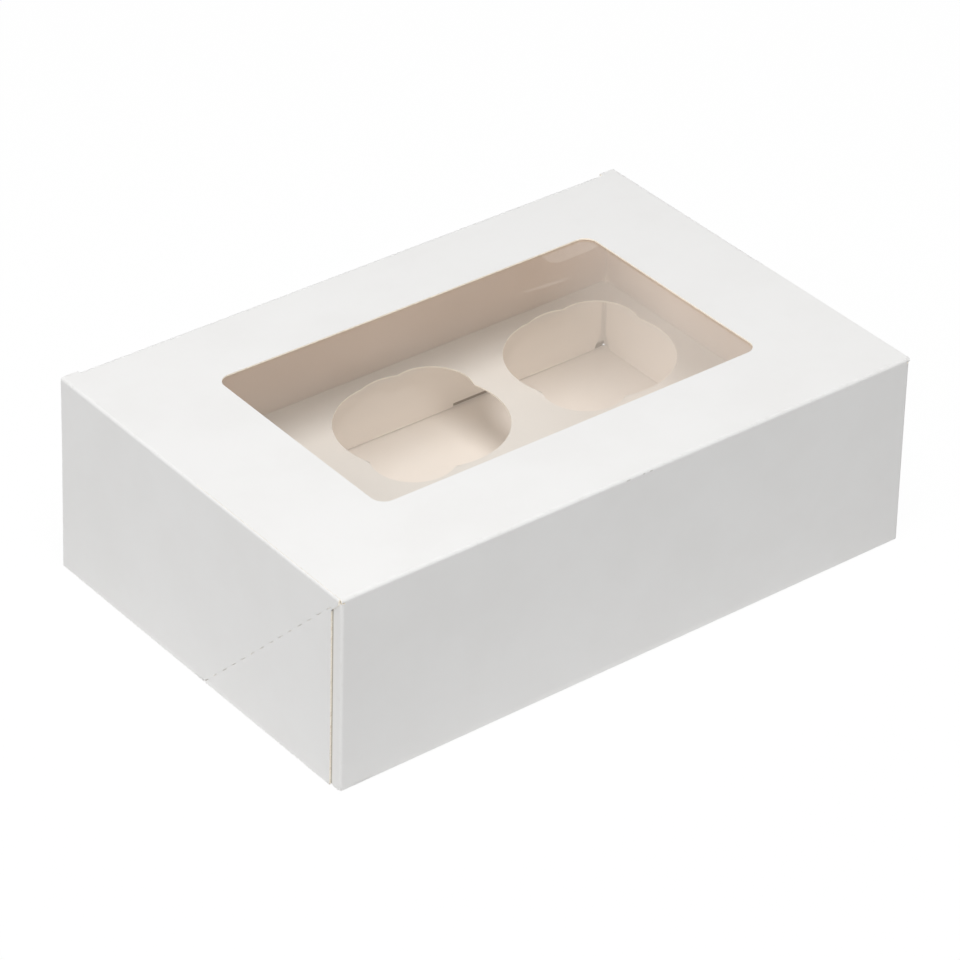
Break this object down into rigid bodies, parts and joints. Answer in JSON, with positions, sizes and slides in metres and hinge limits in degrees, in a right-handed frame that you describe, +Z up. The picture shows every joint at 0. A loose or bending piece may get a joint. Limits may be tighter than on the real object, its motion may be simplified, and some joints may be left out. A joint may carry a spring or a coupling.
{
  "type": "cupcake box",
  "caption": "Flat white board carton with a hinged windowed lid and a loose insert with lobed holes that holds cupcakes upright.",
  "frame": {"origin": "bottom centre of the closed box, on the table under the tray's base", "axes": "+X along the length of the box, -Y out of the front panel, +Z up; the lid's hinge crease runs along X at the top of the back wall"},
  "size_m": [0.24, 0.16, 0.075],
  "materials": {
    "white_board": "smooth coated white, faint satin sheen, cream cut edges",
    "tray_board": "smooth coated white outside, uncoated warm white inside",
    "insert_board": "uncoated warm white",
    "clear_film": "clear glossy film"
  },
  "bodies": {
    "base": {"tray": "tray_board", "cupcake_insert": "insert_board"},
    "lid": {"lid": "white_board", "window_film": "clear_film"}
  },
  "joints": [
    {"name": "lid_hinge", "type": "hinge", "parent": "base", "child": "lid", "pos_m": [0, 0.08015, 0.07285], "axis": [-1, 0, 0], "range_deg": [0, 180]}
  ]
}
